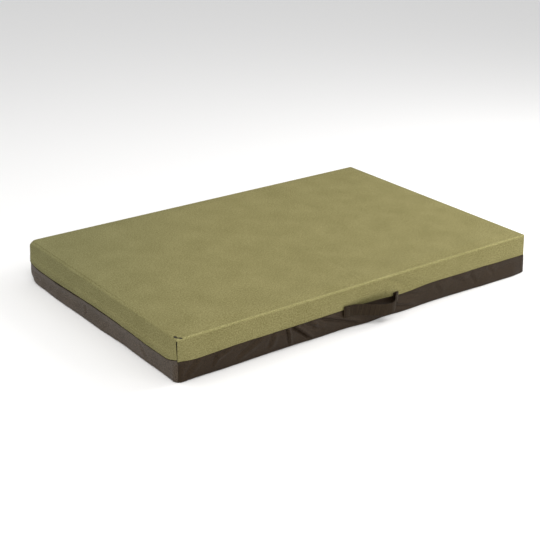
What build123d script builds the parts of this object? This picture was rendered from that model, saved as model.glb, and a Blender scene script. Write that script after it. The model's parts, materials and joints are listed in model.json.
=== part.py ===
from build123d import *
import os

# Crash landing mat: a zipped canvas cover around two layers of foam, with one webbing handle.
# Millimetres. X runs along the long side, the handle is on the -Y side and the zip on the -X side.
# Z is up, and the origin is at the centre of the underside.

os.makedirs("parts", exist_ok=True)

# ---------------------------------------------------------------- driving dimensions
LENGTH = 1500.0
WIDTH = 990.0
HEIGHT = 146.0
CANVAS = 1.0
SEAM_Z = 70.0  # where the upper bands are sewn to the lower bands

LANDING_FOAM = 25.0
FOAM_GAP = 1.5  # between the foam and the walls
ZIP_ROOM = 8.0  # between the foam and the wall with the zip

# Zip, on the -X wall
ZIP_Z = 82.0
ZIP_HALF = 470.0  # half of the length between the end stops
TAPE_X = -744.0  # outer face of the tape
TAPE = 0.8
TAPE_EDGE = 0.5  # from the middle of the zip to the edge of each tape
TAPE_OVERRUN = 8.0
COIL_WIDTH = 4.2
COIL_DEPTH = 2.6
COIL_ROUNDING = 0.8
STOP = 4.0  # length of an end stop
LOWER_TAPE_Z = 62.0  # bottom edge of the lower tape
LOWER_WALL_Z = 74.0  # top edge of the black wall that carries the lower tape
UPPER_WALL_Z = 100.0  # bottom edge of the upper wall, where the flap starts
UPPER_TAPE_Z = 112.0  # top edge of the upper tape

# Slider and pull tab
SLIDER_Y = 425.0  # parked at the closed end
SLIDER_LENGTH = 20.0
SLIDER_NOSE = 15.0
SLIDER_TAIL = 13.0
PLATE = 1.2
PLATE_GAP = 0.4  # from the slider's plates to the tape and to the coil
WEDGE = 0.4
FLANGE = 1.0
PIN = 1.2
BRIDGE_WIDTH = 2.4
BRIDGE_SPAN = 7.0
BRIDGE_ROOM = 0.4  # around the pin
PULL_LENGTH = 34.0
PULL_WIDTH = 8.0
PULL_ARM = 1.6
PULL_WINDOW = 6.5

# Flap over the zip
FLAP_HINGE_X = -750.8
FLAP_HEM_X = -756.5
FLAP_HEM_Z = 60.0
FLAP_HALF = 480.0

# Handle, on the -Y wall
WEBBING = 2.2
WEBBING_WIDTH = 40.0
# Stitched ends: start and stop along X, and the height of their middle
LEFT_START, LEFT_STOP, LEFT_Z = -108.0, -85.0, 66.0
RIGHT_START, RIGHT_STOP, RIGHT_Z = 113.0, 127.0, 61.5
BULGE = 38.0  # how far the strap stands out of the wall
BULGE_X = 66.0
LOWEST_Z = 46.5  # height of the strap's middle where it stands out furthest
END_GAP = 0.5  # between the loop and the stitched ends
END_ROUNDING = 0.8
PATCH = 60.0
STITCH = 3.0
STITCH_PITCH = 4.5
STITCH_WIDTH = 0.8
THREAD = 0.5

# ---------------------------------------------------------------- derived places
LEFT = -LENGTH / 2
RIGHT = LENGTH / 2
FRONT = -WIDTH / 2
BACK = WIDTH / 2
INSIDE_TOP = HEIGHT - CANVAS
COIL_FACE_X = TAPE_X - COIL_DEPTH
COIL_EDGE = TAPE_EDGE + COIL_WIDTH
INNER_PLATE_X = TAPE_X + TAPE + PLATE_GAP
OUTER_PLATE_X = COIL_FACE_X - PLATE_GAP
PLATE_FACE_X = OUTER_PLATE_X - PLATE
PIN_X = PLATE_FACE_X - PIN / 2 - 0.6
BRIDGE_X = PIN_X - PIN / 2 - BRIDGE_ROOM
TAPE_BEND_Z = ZIP_Z + COIL_EDGE + 3.5  # where the upper tape starts to lean outwards
CORE_TOP = INSIDE_TOP - LANDING_FOAM
STRAP_Y = FRONT - 1.5 * WEBBING  # middle of the strap where it leaves its ends
HANDLE_ENDS = {"left": (LEFT_START, LEFT_STOP, LEFT_Z), "right": (RIGHT_START, RIGHT_STOP, RIGHT_Z)}


# ---------------------------------------------------------------- cover: flat panels
for name, bottom in (("top_panel", INSIDE_TOP), ("base_panel", 0.0)):
    with BuildPart() as panel:
        with BuildSketch(Plane.XY.offset(bottom)):
            Rectangle(LENGTH, WIDTH)
        extrude(amount=CANVAS)
    panel.part.label = name
    export_step(panel.part, f"parts/{name}.step")

# Long walls, an upper band and a lower band on each side
for side, edge, inward in (("front", FRONT, Align.MIN), ("back", BACK, Align.MAX)):
    for name, low, high in ((f"band_{side}", SEAM_Z, INSIDE_TOP), (f"lower_{side}", CANVAS, SEAM_Z)):
        with BuildPart() as long_wall:
            with BuildSketch(Plane.XY.offset(low)):
                with Locations((0, edge)):
                    Rectangle(LENGTH, CANVAS, align=(Align.CENTER, inward))
            extrude(amount=high - low)
        long_wall.part.label = name
        export_step(long_wall.part, f"parts/{name}.step")

# Plain short wall, on +X, between the long walls
for name, low, high in (("band_right", SEAM_Z, INSIDE_TOP), ("lower_right", CANVAS, SEAM_Z)):
    with BuildPart() as short_wall:
        with BuildSketch(Plane.XY.offset(low)):
            with Locations((RIGHT, 0)):
                Rectangle(CANVAS, WIDTH - 2 * CANVAS, align=(Align.MAX, Align.CENTER))
        extrude(amount=high - low)
    short_wall.part.label = name
    export_step(short_wall.part, f"parts/{name}.step")

# ---------------------------------------------------------------- cover: wall with the zip
# Upper wall, open below UPPER_WALL_Z over the length of the zip
with BuildPart() as band_zip_side:
    with BuildSketch(Plane.YZ.offset(LEFT)):
        with Locations((0, LOWER_WALL_Z)):
            Rectangle(WIDTH - 2 * CANVAS, INSIDE_TOP - LOWER_WALL_Z, align=(Align.CENTER, Align.MIN))
            Rectangle(
                2 * (ZIP_HALF + TAPE_OVERRUN),
                UPPER_WALL_Z - LOWER_WALL_Z,
                align=(Align.CENTER, Align.MIN),
                mode=Mode.SUBTRACT,
            )
    extrude(amount=CANVAS)
band_zip_side.part.label = "band_zip_side"
export_step(band_zip_side.part, "parts/band_zip_side.step")

# Lower wall, which leans inwards to meet the lower tape
with BuildPart() as lower_zip_side:
    with BuildSketch(Plane.XZ):
        with BuildLine():
            Polyline(
                (LEFT, CANVAS),
                (LEFT + CANVAS, CANVAS),
                (TAPE_X, LOWER_TAPE_Z),
                (TAPE_X, LOWER_WALL_Z),
                (TAPE_X - CANVAS, LOWER_WALL_Z),
                (TAPE_X - CANVAS, LOWER_TAPE_Z),
                close=True,
            )
        make_face()
    extrude(amount=WIDTH / 2 - CANVAS, both=True)
lower_zip_side.part.label = "lower_zip_side"
export_step(lower_zip_side.part, "parts/lower_zip_side.step")

# Flap, with its rounded top edge on the hinge line
with BuildPart() as zip_flap:
    with BuildSketch(Plane.XZ):
        with BuildLine():
            Line((FLAP_HINGE_X, UPPER_WALL_Z), (FLAP_HEM_X, FLAP_HEM_Z))
        trace(line_width=CANVAS)
        with Locations((FLAP_HINGE_X, UPPER_WALL_Z)):
            Circle(CANVAS / 2)
    extrude(amount=FLAP_HALF, both=True)
zip_flap.part.label = "zip_flap"
export_step(zip_flap.part, "parts/zip_flap.step")

# ---------------------------------------------------------------- zip
with BuildPart() as zip_tape_lower:
    with BuildSketch(Plane.XZ):
        with Locations((TAPE_X, LOWER_TAPE_Z)):
            Rectangle(TAPE, ZIP_Z - TAPE_EDGE - LOWER_TAPE_Z, align=(Align.MIN, Align.MIN))
    extrude(amount=ZIP_HALF + TAPE_OVERRUN, both=True)
zip_tape_lower.part.label = "zip_tape_lower"
export_step(zip_tape_lower.part, "parts/zip_tape_lower.step")

# The upper tape leans outwards to the inside of the upper wall
with BuildPart() as zip_tape_upper:
    with BuildSketch(Plane.XZ):
        with BuildLine():
            Polyline(
                (TAPE_X, ZIP_Z + TAPE_EDGE),
                (TAPE_X, TAPE_BEND_Z),
                (LEFT + CANVAS, UPPER_WALL_Z),
                (LEFT + CANVAS, UPPER_TAPE_Z),
                (LEFT + CANVAS + TAPE, UPPER_TAPE_Z),
                (LEFT + CANVAS + TAPE, UPPER_WALL_Z),
                (TAPE_X + TAPE, TAPE_BEND_Z),
                (TAPE_X + TAPE, ZIP_Z + TAPE_EDGE),
                close=True,
            )
        make_face()
    extrude(amount=ZIP_HALF + TAPE_OVERRUN, both=True)
zip_tape_upper.part.label = "zip_tape_upper"
export_step(zip_tape_upper.part, "parts/zip_tape_upper.step")

# Each coil is a bar on the outside of its tape
for name, edge, outward in (
    ("zip_coil_lower", ZIP_Z - TAPE_EDGE, Align.MAX),
    ("zip_coil_upper", ZIP_Z + TAPE_EDGE, Align.MIN),
):
    with BuildPart() as coil:
        with BuildSketch(Plane.XZ) as coil_section:
            with Locations((TAPE_X, edge)):
                Rectangle(COIL_DEPTH, COIL_WIDTH, align=(Align.MAX, outward))
            fillet(coil_section.vertices().group_by(Axis.X)[0], COIL_ROUNDING)
        extrude(amount=ZIP_HALF, both=True)
    coil.part.label = name
    export_step(coil.part, f"parts/{name}.step")

# One stop on each coil at the closed end, and one across both at the open end
with BuildPart() as zip_stops:
    with BuildSketch(Plane.YZ.offset(TAPE_X)):
        with Locations((-ZIP_HALF, ZIP_Z)):
            Rectangle(STOP, 2 * COIL_EDGE, align=(Align.MAX, Align.CENTER))
        with Locations((ZIP_HALF, ZIP_Z + TAPE_EDGE)):
            Rectangle(STOP, COIL_WIDTH, align=(Align.MIN, Align.MIN))
        with Locations((ZIP_HALF, ZIP_Z - TAPE_EDGE)):
            Rectangle(STOP, COIL_WIDTH, align=(Align.MIN, Align.MAX))
    extrude(amount=-COIL_DEPTH)
zip_stops.part.label = "zip_stops"
export_step(zip_stops.part, "parts/zip_stops.step")

# Slider: two plates around the chain, joined by a wedge, with flanges and a bridge for the pull
with BuildPart() as zip_slider:
    for plate_x, direction in ((INNER_PLATE_X, 1), (OUTER_PLATE_X, -1)):
        with BuildSketch(Plane.YZ.offset(plate_x)) as plate_outline:
            with BuildLine():
                Polyline(
                    (SLIDER_Y - SLIDER_LENGTH / 2, ZIP_Z - SLIDER_TAIL / 2),
                    (SLIDER_Y + SLIDER_LENGTH / 2, ZIP_Z - SLIDER_NOSE / 2),
                    (SLIDER_Y + SLIDER_LENGTH / 2, ZIP_Z + SLIDER_NOSE / 2),
                    (SLIDER_Y - SLIDER_LENGTH / 2, ZIP_Z + SLIDER_TAIL / 2),
                    close=True,
                )
            make_face()
            fillet(plate_outline.vertices(), 2.5)
        extrude(amount=direction * PLATE)
    # wedge between the two coils
    with BuildSketch(Plane.YZ.offset(INNER_PLATE_X)):
        with Locations((SLIDER_Y + SLIDER_LENGTH / 4, ZIP_Z)):
            Rectangle(SLIDER_LENGTH / 4, WEDGE)
    extrude(amount=OUTER_PLATE_X - INNER_PLATE_X)
    # flanges on the outer plate, beside the coils
    with BuildSketch(Plane.YZ.offset(OUTER_PLATE_X)):
        for z in (ZIP_Z - COIL_EDGE - PLATE_GAP - FLANGE / 2, ZIP_Z + COIL_EDGE + PLATE_GAP + FLANGE / 2):
            with Locations((SLIDER_Y, z)):
                Rectangle(SLIDER_LENGTH * 0.7, FLANGE)
    extrude(amount=TAPE_X - PLATE_GAP - OUTER_PLATE_X)
    # bridge, an arch along the zip
    with BuildSketch(Plane.XY.offset(ZIP_Z)):
        with Locations((PLATE_FACE_X, SLIDER_Y)):
            Rectangle(
                PLATE_FACE_X - BRIDGE_X + PLATE, BRIDGE_SPAN + 2 * PLATE, align=(Align.MAX, Align.CENTER)
            )
            Rectangle(
                PLATE_FACE_X - BRIDGE_X, BRIDGE_SPAN, align=(Align.MAX, Align.CENTER), mode=Mode.SUBTRACT
            )
    extrude(amount=BRIDGE_WIDTH / 2, both=True)
zip_slider.part.label = "zip_slider"
export_step(zip_slider.part, "parts/zip_slider.step")

# Pull tab: a pin under the bridge, two arms around it and a tab with a hole
with BuildPart() as zip_pull:
    with BuildSketch(Plane.YZ.offset(PIN_X - PIN / 2)) as pull_outline:
        with Locations((SLIDER_Y - PIN / 2, ZIP_Z)):
            Rectangle(PULL_LENGTH, PULL_WIDTH, align=(Align.MIN, Align.CENTER))
        fillet(pull_outline.vertices().group_by(Axis.Y)[-1], 3.5)
        with Locations((SLIDER_Y + PIN / 2, ZIP_Z)):
            Rectangle(
                PULL_WINDOW - PIN / 2,
                PULL_WIDTH - 2 * PULL_ARM,
                align=(Align.MIN, Align.CENTER),
                mode=Mode.SUBTRACT,
            )
        with Locations((SLIDER_Y + PULL_LENGTH - 6.5, ZIP_Z)):
            SlotOverall(7.0, 3.6, mode=Mode.SUBTRACT)
    extrude(amount=PIN)
zip_pull.part.label = "zip_pull"
export_step(zip_pull.part, "parts/zip_pull.step")

# ---------------------------------------------------------------- handle
# Stitched ends: two layers of webbing flat on the wall
for side, (start, stop, middle_z) in HANDLE_ENDS.items():
    with BuildPart() as handle_end:
        with BuildSketch(Plane.XZ.offset(-FRONT)):
            with Locations(((start + stop) / 2, middle_z)):
                Rectangle(stop - start, WEBBING_WIDTH)
        extrude(amount=2 * WEBBING)
        fillet(handle_end.edges().filter_by(Axis.Z).group_by(Axis.Y)[0], END_ROUNDING)
    handle_end.part.label = f"handle_end_{side}"
    export_step(handle_end.part, f"parts/handle_end_{side}.step")

# Loop: a strap that leaves the wall gently on the left, stands out furthest near its right end,
# and hangs lower where it stands out. It is its run seen from above, cut by its run seen from the front.
with BuildPart() as handle_loop:
    with BuildSketch(Plane.XY):
        with BuildLine():
            Spline(
                (LEFT_STOP + END_GAP, STRAP_Y),
                (-BULGE_X * 0.6, STRAP_Y - BULGE * 0.18),
                (BULGE_X * 0.15, STRAP_Y - BULGE * 0.57),
                (BULGE_X, FRONT - BULGE + WEBBING / 2),
                (RIGHT_START - 15.0, STRAP_Y - BULGE * 0.45),
                (RIGHT_START - END_GAP - WEBBING / 2, STRAP_Y),
                tangents=((1.0, 0.0), (0.5, 1.0)),
            )
        trace(line_width=WEBBING)
    extrude(amount=HEIGHT)
    with BuildSketch(Plane.XZ.offset(-FRONT)):
        with BuildLine():
            Spline(
                (LEFT_STOP - WEBBING, LEFT_Z),
                (BULGE_X, LOWEST_Z),
                (RIGHT_START + WEBBING, RIGHT_Z),
                tangents=((1.0, 0.0), (1.0, 0.4)),
            )
        trace(line_width=WEBBING_WIDTH)
    extrude(amount=2 * BULGE, mode=Mode.INTERSECT)
handle_loop.part.label = "handle_loop"
export_step(handle_loop.part, "parts/handle_loop.step")

# Rows of stitches down both edges of each end
with BuildPart() as handle_stitching:
    with BuildSketch(Plane.XZ.offset(-FRONT + 2 * WEBBING)):
        for start, stop, middle_z in HANDLE_ENDS.values():
            for x in (start + 3.0, stop - 3.0):
                with Locations((x, middle_z)):
                    with GridLocations(0, STITCH_PITCH, 1, int((WEBBING_WIDTH - STITCH) / STITCH_PITCH)):
                        Rectangle(STITCH_WIDTH, STITCH)
    extrude(amount=THREAD)
handle_stitching.part.label = "handle_stitching"
export_step(handle_stitching.part, "parts/handle_stitching.step")

# Reinforcing patches behind the ends, inside the wall
for side, (start, stop, middle_z) in HANDLE_ENDS.items():
    with BuildPart() as patch:
        with BuildSketch(Plane.XZ.offset(-FRONT - CANVAS)):
            with Locations(((start + stop) / 2, middle_z)):
                Rectangle(PATCH, PATCH)
        extrude(amount=-CANVAS)
    patch.part.label = f"handle_patch_{side}"
    export_step(patch.part, f"parts/handle_patch_{side}.step")

# ---------------------------------------------------------------- foam
for name, bottom, thickness in (
    ("core_foam", CANVAS, CORE_TOP - CANVAS),
    ("landing_foam", CORE_TOP, LANDING_FOAM),
):
    with BuildPart() as foam:
        with BuildSketch(Plane.XY.offset(bottom)):
            with Locations((LEFT + CANVAS + ZIP_ROOM, 0)):
                Rectangle(
                    LENGTH - 2 * CANVAS - ZIP_ROOM - FOAM_GAP,
                    WIDTH - 4 * CANVAS - 2 * FOAM_GAP,
                    align=(Align.MIN, Align.CENTER),
                )
        extrude(amount=thickness)
    foam.part.label = name
    export_step(foam.part, f"parts/{name}.step")
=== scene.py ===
import json
import math

import bpy
import numpy as np
from mathutils import Matrix, Vector


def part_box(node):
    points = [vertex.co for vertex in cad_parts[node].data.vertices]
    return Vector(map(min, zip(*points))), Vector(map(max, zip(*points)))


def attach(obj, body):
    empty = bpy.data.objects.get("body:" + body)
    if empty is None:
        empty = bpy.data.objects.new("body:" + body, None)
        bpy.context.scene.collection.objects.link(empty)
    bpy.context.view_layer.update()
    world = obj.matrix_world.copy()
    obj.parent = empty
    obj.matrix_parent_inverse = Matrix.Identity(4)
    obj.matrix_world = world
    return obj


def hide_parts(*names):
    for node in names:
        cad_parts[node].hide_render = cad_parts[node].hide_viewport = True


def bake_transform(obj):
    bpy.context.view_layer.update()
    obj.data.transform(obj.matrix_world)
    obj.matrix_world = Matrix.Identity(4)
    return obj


# Looks for the crash landing mat. Everything is in metres, in the frame of the CAD model:
# X along the long side, the handle on -Y, the zip on -X, Z up, the floor at Z = 0.

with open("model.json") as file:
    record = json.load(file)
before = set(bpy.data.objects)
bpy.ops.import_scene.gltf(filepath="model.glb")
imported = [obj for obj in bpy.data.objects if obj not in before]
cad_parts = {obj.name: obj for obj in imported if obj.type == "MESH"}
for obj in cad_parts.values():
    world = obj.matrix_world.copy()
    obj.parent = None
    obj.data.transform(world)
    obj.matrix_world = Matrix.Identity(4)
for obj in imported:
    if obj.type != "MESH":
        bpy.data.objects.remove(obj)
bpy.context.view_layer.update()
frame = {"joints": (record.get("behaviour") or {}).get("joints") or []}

MM = 0.001
HALF_L, HALF_W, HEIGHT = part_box("top_panel")[1]
SEAM_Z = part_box("band_front")[0].z
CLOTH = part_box("base_panel")[1].z  # thickness of the canvas

# ---- driving looks
TAPER = 4 * MM  # how much the top is smaller than the base, on each side
ROLL = 5.5 * MM  # radius of the rolled seam around the top
ROLL_TURN = math.radians(105)
LEFT_LOW, LEFT_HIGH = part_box("handle_end_left")
RIGHT_LOW, RIGHT_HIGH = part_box("handle_end_right")
HANDLE_MID = (LEFT_LOW.x + RIGHT_HIGH.x) / 2
TOP_SEAM_Z = HEIGHT - 6.6 * MM  # where the walls meet the rolled seam
BEAD = 1.6 * MM  # radius to which canvas turns in at a seam
FINE_BEAD = 0.7 * MM  # the same where a seam hardly shows
BASE_ROUND = 5 * MM  # radius between the walls and the base


# ---- small maths
def smooth(x, low, high):
    t = np.clip((x - low) / (high - low), 0, 1)
    return t * t * (3 - 2 * t)


def bell(x, middle, width):
    return np.exp(-(((x - middle) / width) ** 2))


def stack(*parts):
    return np.stack(parts, -1)


def unit(vectors):
    """Vectors along the last axis, each made one long."""
    return vectors / np.linalg.norm(vectors, axis=-1, keepdims=True)


def curve_through(knots, x):
    """A smooth curve through a few (place, value) knots."""
    places, values = np.array(knots, float).T
    slopes = np.gradient(values, places)
    i = np.clip(np.searchsorted(places, x) - 1, 0, len(places) - 2)
    h = places[i + 1] - places[i]
    t = np.clip((x - places[i]) / h, 0, 1)
    return (
        (2 * t**3 - 3 * t**2 + 1) * values[i]
        + (t**3 - 2 * t**2 + t) * h * slopes[i]
        + (3 * t**2 - 2 * t**3) * values[i + 1]
        + (t**3 - t**2) * h * slopes[i + 1]
    )


def noise(u, v, size, seed):
    """Smooth noise from -1 to 1 with lumps of about the given size."""
    lattice = np.random.default_rng(seed).uniform(-1, 1, (61, 61))
    x, y = u / size + 1000.0, v / size + 1000.0
    i, j = np.floor(x).astype(int), np.floor(y).astype(int)
    s, t = smooth(x - i, 0, 1), smooth(y - j, 0, 1)
    a, b = lattice[i % 61, j % 61], lattice[(i + 1) % 61, j % 61]
    c, d = lattice[i % 61, (j + 1) % 61], lattice[(i + 1) % 61, (j + 1) % 61]
    return (a * (1 - s) + b * s) * (1 - t) + (c * (1 - s) + d * s) * t


def crease(u, v, u0, v0, u1, v1, depth, width, ridge=0.6, bow=0, side=1):
    """A fold from (u0, v0) to (u1, v1), in millimetres: a valley with a ridge along one side."""
    u, v = u / MM - u0, v / MM - v0
    du, dv = u1 - u0, v1 - v0
    length = math.hypot(du, dv)
    t = (u * du + v * dv) / length**2
    d = (v * du - u * dv) / length - bow * 4 * t * (1 - t)
    fade = smooth(t, -0.1, 0.15) * (1 - smooth(t, 0.75, 1.1))
    return fade * depth * MM * (ridge * bell(side * d, 1.7 * width, 1.3 * width) - bell(d, 0, width))


def folds(u, v, rows):
    """Several creases together. Each row holds the numbers that crease takes."""
    return sum(crease(u, v, *row) for row in rows)


# ---- mesh building
def add_object(name, data):
    piece = bpy.data.objects.new(name, data)
    bpy.context.scene.collection.objects.link(piece)
    return piece


def add_mesh(name, points, faces, material, uv=None):
    """A mesh object. uv is each point's place on the flat cloth, in metres."""
    mesh = bpy.data.meshes.new(name)
    mesh.from_pydata([tuple(p) for p in np.asarray(points, float)], [], [tuple(f) for f in faces])
    mesh.update()
    mesh.materials.append(material)
    mesh.polygons.foreach_set("use_smooth", [True] * len(mesh.polygons))
    if uv is not None:
        layer = mesh.uv_layers.new(name="cloth")
        corners = np.zeros(len(mesh.loops), int)
        mesh.loops.foreach_get("vertex_index", corners)
        layer.data.foreach_set("uv", np.asarray(uv, float)[corners].ravel())
    return add_object(name, mesh)


def grid_faces(rows, columns, closed=False):
    """Quads over a grid of points, row after row. closed joins the last column to the first."""
    count = columns if closed else columns - 1
    r, c = np.meshgrid(np.arange(rows - 1), np.arange(count), indexing="ij")
    a, b = r * columns + c, r * columns + (c + 1) % columns
    return stack(a, b, b + columns, a + columns).reshape(-1, 4)


def tube_faces(rings, sides):
    """The skin of a tube from its rings of points, with both ends closed."""
    faces = [list(f) for f in grid_faces(rings, sides, closed=True)]
    return faces + [list(range(sides))[::-1], [(rings - 1) * sides + k for k in range(sides)]]


def add_modifier(piece, kind, **settings):
    modifier = piece.modifiers.new(kind, kind)
    for name, value in settings.items():
        setattr(modifier, name, value)


def apply_modifiers(piece):
    bpy.context.view_layer.update()
    depsgraph = bpy.context.evaluated_depsgraph_get()
    mesh = bpy.data.meshes.new_from_object(
        piece.evaluated_get(depsgraph), preserve_all_data_layers=True, depsgraph=depsgraph
    )
    old = piece.data
    piece.modifiers.clear()
    piece.data = mesh
    mesh.name = old.name
    bpy.data.meshes.remove(old)


def cloth_sheet(name, grid, uv, material, thickness=CLOTH, flip=False):
    """A sheet of canvas from a grid of points, with its thickness on the inner side."""
    faces = grid_faces(*grid.shape[:2])
    if flip:
        faces = faces[:, ::-1]
    piece = add_mesh(name, shape(grid.reshape(-1, 3)), faces, material, uv.reshape(-1, 2))
    add_modifier(piece, "SOLIDIFY", thickness=thickness, offset=-1, use_even_offset=False)
    apply_modifiers(piece)
    piece.data.set_sharp_from_angle(angle=math.radians(50))
    return piece


def tube(points, radius, sides):
    """Points and faces of a tube along a path, with closed ends."""
    points = np.asarray(points, float)
    tangents = unit(np.gradient(points, axis=0))
    up = np.array([0, 0, 1.0]) if abs(tangents[0][2]) < 0.9 else np.array([0, 1.0, 0])
    normal = np.cross(tangents[0], up)
    normals = []
    for tangent in tangents:
        normal = unit(normal - tangent * (normal @ tangent))
        normals.append(normal)
    normals = np.array(normals)[:, None]
    across = np.cross(tangents, normals[:, 0])[:, None]
    turn = np.linspace(0, 2 * math.pi, sides, endpoint=False)[None, :, None]
    ring = np.cos(turn) * normals + np.sin(turn) * across
    return (points[:, None] + radius * ring).reshape(-1, 3), tube_faces(len(points), sides)


def joined(parts):
    """Points and faces of several closed shapes as one."""
    points, faces, start = [], [], 0
    for vertices, polygons in parts:
        points.append(vertices)
        faces += [[start + k for k in polygon] for polygon in polygons]
        start += len(vertices)
    return np.concatenate(points), faces


# ---- the mat's overall shape
# Corners that sit slack: (corner's sign in X, Y, Z), reach along each edge in millimetres
SLACK_CORNERS = (
    ((-1, 1, 1), (30, 34, 22)),
    ((-1, 1, -1), (26, 46, 30)),
    ((1, 1, 1), (12, 14, 8)),
    ((1, 1, -1), (18, 22, 14)),
    ((-1, -1, -1), (9, 6, 5)),
)
# Upright edges: (edge's sign in X, Y), radius in the black part, in the green part, in millimetres
UPRIGHT_EDGES = (((-1, -1), 26, 3), ((-1, 1), 18, 13), ((1, -1), 3, 5), ((1, 1), 14, 8))


def round_upright_edges(p):
    """Makes each square upright edge round, by a map that keeps the walls where they are."""
    half = np.array([HALF_L, HALF_W])
    for signs, lower, upper in UPRIGHT_EDGES:
        green = smooth(p[:, 2:], SEAM_Z - 16 * MM, SEAM_Z + 3 * MM)
        radius = MM * (lower + (upper - lower) * green)
        over = radius - (half - signs * p[:, :2])
        inside = (over > 0).all(1, keepdims=True)
        shrink = over.max(1) / np.maximum(np.hypot(*over.T), 1e-9)
        p[:, :2] = np.where(inside, signs * (half - radius + over * shrink[:, None]), p[:, :2])


def shape(points):
    """Bends points of the square-cornered mat to its real outline: tapered, with slack corners."""
    p = np.array(points, float)
    round_upright_edges(p)
    shrink = TAPER * np.clip(p[:, 2] / HEIGHT, 0, 1)
    p[:, 0] *= 1 - shrink / HALF_L
    p[:, 1] *= 1 - shrink / HALF_W
    for signs, reach in SLACK_CORNERS:
        signs, reach = np.array(signs, float), np.array(reach) * MM
        corner = np.array([HALF_L, HALF_W, HEIGHT if signs[2] > 0 else 0.0]) * [signs[0], signs[1], 1]
        inward = (corner - p) * signs / reach
        near = 1 - np.clip(inward, -0.3, None).sum(1)
        # a soft version of max(near, 0)
        push = 0.12 * np.logaddexp(0, near / 0.12)
        push[near < -0.6] = 0
        weights = 1 / reach
        step = weights / (weights**2).sum() * signs
        p -= push[:, None] * step
    return p


# ---- folds and swells of each wall
def foot_front(x):
    """How far the foot of the front wall stands out: drawn in at the left, pouting at the right."""
    knots = (
        (-0.75, 1.5), (-0.69, -2.6), (-0.60, -1.6), (-0.50, -3.5), (-0.38, -5.9), (-0.20, -3.5),
        (-0.08, -3.4), (0.0, 3.4), (0.07, -1.5), (0.14, 2.4), (0.32, 0.1), (0.44, 3.7), (0.60, 9.3),
        (0.70, 7.9), (0.75, 2.5),
    )
    return curve_through(knots, x) * MM


def foot_left(y):
    """The same for the zip side."""
    knots = (
        (-0.495, 2.0), (-0.44, -0.3), (-0.30, 0.4), (-0.12, 0.2), (-0.02, 4.9), (0.08, 4.1), (0.20, 6.9),
        (0.35, 6.2), (0.44, 4.0), (0.495, -4.0),
    )
    return curve_through(knots, y) * MM


def foot_right(y):
    return 5 * MM * (1 - smooth(y, -0.45, 0.1))


def belly(z, amount):
    """The swell of a wall, widest at half the mat's height."""
    return amount * np.sin(math.pi * np.clip(z / HEIGHT, 0, 1))


def free_part(z):
    """1 on a black wall, and 0 at the floor and at the middle seam, which hold the cloth."""
    return (1 - smooth(z, SEAM_Z - 4 * MM, SEAM_Z + 1 * MM)) * smooth(z, 0, 9 * MM)


def foot_part(z):
    """1 at the foot of a black wall, and 0 near the middle seam."""
    return 1 - smooth(z, 8 * MM, 55 * MM)


def front_swell(x, z):
    """How far the front wall stands out of its plane."""
    swell = belly(z, 2.5 * MM) * smooth(HALF_L - abs(x), 0, 0.1)
    swell = swell - 1.5 * MM * bell(z, SEAM_Z, 7 * MM)
    swell = swell + 0.9 * MM * noise(x, z, 0.09, 3) + 0.4 * MM * noise(x, z, 0.03, 4)
    # the handle's stitching holds the wall flat
    return swell * (0.12 + 0.88 * smooth(abs(x - HANDLE_MID), 0.125, 0.24))


def band_front_bump(x, z):
    rows = (
        (90, 128, 180, 88, 1.8, 9), (150, 120, 250, 84, 1.2, 9), (70, 94, 78, 72, 2.2, 4),
        (-742, 80, -700, 128, 0.9, 7), (690, 85, 735, 130, 0.8, 7),
    )
    return front_swell(x, z) + folds(x, z, rows)


def lower_front_bump(x, z):
    bump = front_swell(x, z) - 1.2 * MM * smooth(z, 0.02, SEAM_Z)
    fold = 0.9 * MM * noise(x - 0.6 * z, 0.5 * z, 0.045, 7)
    fold = fold + folds(x, z, (
        (-322, 73, -236, 4, 8.0, 4.6, 0.7), (-342, 74, -325, 4, 5.0, 4.0, 0.8),
        (-268, 74, -222, 40, 5.5, 6), (-238, 48, -185, 26, 2.4, 7), (-218, 72, -35, 4, 6.5, 5.5, 0.9, 2),
        (-438, 74, -535, 26, 3.6, 7.5), (-396, 74, -413, 20, 3.2, 9, 0.7), (-676, 72, -730, 8, 3.2, 9),
        (-556, 70, -618, 48, 3.0, 5, 0.7), (-606, 62, -628, 22, 2.6, 6), (128, 66, 240, 46, 3.0, 6, 0.2),
        (105, 30, 200, 10, 3.4, 7, 1.0), (375, 68, 450, 36, 2.6, 8), (470, 60, 500, 16, 1.8, 9),
        (300, 60, 335, 20, 1.8, 9), (560, 66, 590, 30, 1.6, 9),
    ))
    return bump + fold * free_part(z) + foot_front(x) * foot_part(z)


def side_swell(seed):
    """The swell of a wall that the camera of the main view doesn't face."""

    def swell(u, z):
        rise = belly(z, 2.2 * MM) - 1.5 * MM * bell(z, SEAM_Z, 7 * MM)
        return rise + 0.8 * MM * noise(u, z, 0.08, seed) + 0.4 * MM * noise(u, z, 0.03, seed + 1)

    return swell


def slack_swell(seed, length):
    """The same for a black wall, with slanting folds that start at the seam."""
    plain_swell = side_swell(seed)
    rng = np.random.default_rng(seed + 50)
    rows = []
    for middle in np.arange(-length / 2 + 0.08, length / 2 - 0.06, 0.11) / MM:
        top = middle + rng.uniform(-30, 30)
        foot = top + rng.uniform(-70, 70)
        reach = rng.uniform(8, 35)
        side = 1 if foot > top else -1
        rows.append((top, 68, foot, reach, rng.uniform(1.0, 3.2), rng.uniform(4, 7), 0.6, 0, side))

    def swell(u, z):
        sag = plain_swell(u, z) - 1.2 * MM * smooth(z, 0.02, SEAM_Z)
        return sag + folds(u, z, rows) * free_part(z)

    return swell


def pouting(bump):
    """The black wall opposite the zip, whose foot stands out near the handle side."""
    return lambda y, z: bump(y, z) + foot_right(y) * foot_part(z)


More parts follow.
